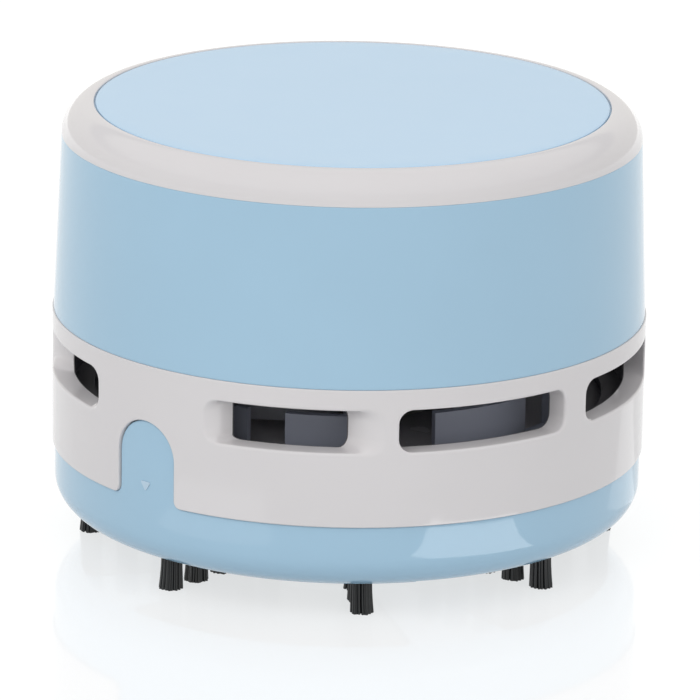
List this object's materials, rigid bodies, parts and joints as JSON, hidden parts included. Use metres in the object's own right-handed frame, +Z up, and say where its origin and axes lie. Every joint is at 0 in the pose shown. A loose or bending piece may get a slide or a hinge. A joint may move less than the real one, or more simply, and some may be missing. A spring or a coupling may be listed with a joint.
{
  "type": "desktop mini vacuum cleaner",
  "caption": "Round battery-powered desk vacuum cleaner: bristled dust tray with press tongue, windowed exhaust band, tapered casing with fan motor, and lift-off battery lid.",
  "frame": {"origin": "on the desk at the centre of the round body, at the tips of the bristles", "axes": "+Z up along the body's axis; the release tongue faces -Y and the power switch faces +Y"},
  "size_m": [0.085, 0.085, 0.0637],
  "materials": {
    "blue_plastic": "smooth gloss moulding",
    "pale_blue_plastic": "smooth satin gloss moulding",
    "white_plastic": "smooth gloss moulding, slightly warm",
    "grey_plastic": "satin grey moulding",
    "dark_plastic": "matt dark moulding",
    "bristle_nylon": "black nylon filament",
    "steel": "bright plated steel",
    "brass": "plain brass",
    "filter_felt": "white non-woven felt",
    "magnet_ferrite": "sintered ferrite",
    "cell_skin": "printed foil sleeve, bare of words",
    "red_lead": "red insulation",
    "black_lead": "black insulation"
  },
  "bodies": {
    "base": {"base_tray": "blue_plastic", "brush_strip_1": "bristle_nylon", "brush_strip_2": "bristle_nylon", "brush_strip_3": "bristle_nylon", "brush_strip_4": "bristle_nylon"},
    "tongue": {"release_tongue": "blue_plastic"},
    "housing": {"exhaust_band": "white_plastic", "upper_shell": "blue_plastic", "exhaust_baffle": "grey_plastic", "fan_inlet_plate": "white_plastic", "filter_frame": "dark_plastic", "filter_disc": "filter_felt", "motor_deck": "grey_plastic", "battery_holder": "white_plastic", "motor_can": "steel", "motor_end_cap": "dark_plastic", "motor_bushing": "brass", "motor_terminal_1": "brass", "motor_terminal_2": "brass", "field_magnet_1": "magnet_ferrite", "field_magnet_2": "magnet_ferrite", "battery_1": "cell_skin", "battery_2": "cell_skin", "bridge_contact": "steel", "positive_contact": "steel", "negative_contact": "steel", "battery_spring_1": "steel", "battery_spring_2": "steel", "switch_body": "dark_plastic", "battery_lead": "black_lead", "switch_lead": "red_lead", "motor_lead": "red_lead", "housing_screw_1": "steel", "housing_screw_2": "steel", "housing_screw_3": "steel", "housing_screw_4": "steel", "motor_screw_1": "steel", "motor_screw_2": "steel"},
    "rotor": {"motor_shaft": "steel", "motor_armature": "steel", "impeller": "grey_plastic"},
    "lid": {"lid_rim": "white_plastic", "lid_disc": "pale_blue_plastic"},
    "switch": {"switch_knob": "white_plastic"}
  },
  "joints": [
    {"name": "housing_lift", "type": "slide", "parent": "base", "child": "housing", "axis": [0, 0, 1], "range_m": [0, 0.025]},
    {"name": "tongue_press", "type": "hinge", "parent": "base", "child": "tongue", "pos_m": [0, -0.0413, 0.01435], "axis": [-1, 0, 0], "range_deg": [0, 6], "stiffness_Nm_per_rad": 0.1},
    {"name": "rotor_spin", "type": "hinge", "parent": "housing", "child": "rotor", "pos_m": [0, 0, 0.03], "axis": [0, 0, 1], "continuous": true},
    {"name": "lid_lift", "type": "slide", "parent": "housing", "child": "lid", "axis": [0, 0, 1], "range_m": [0, 0.03]},
    {"name": "switch_slide", "type": "slide", "parent": "housing", "child": "switch", "axis": [1, 0, 0], "range_m": [0, 0.004]}
  ]
}
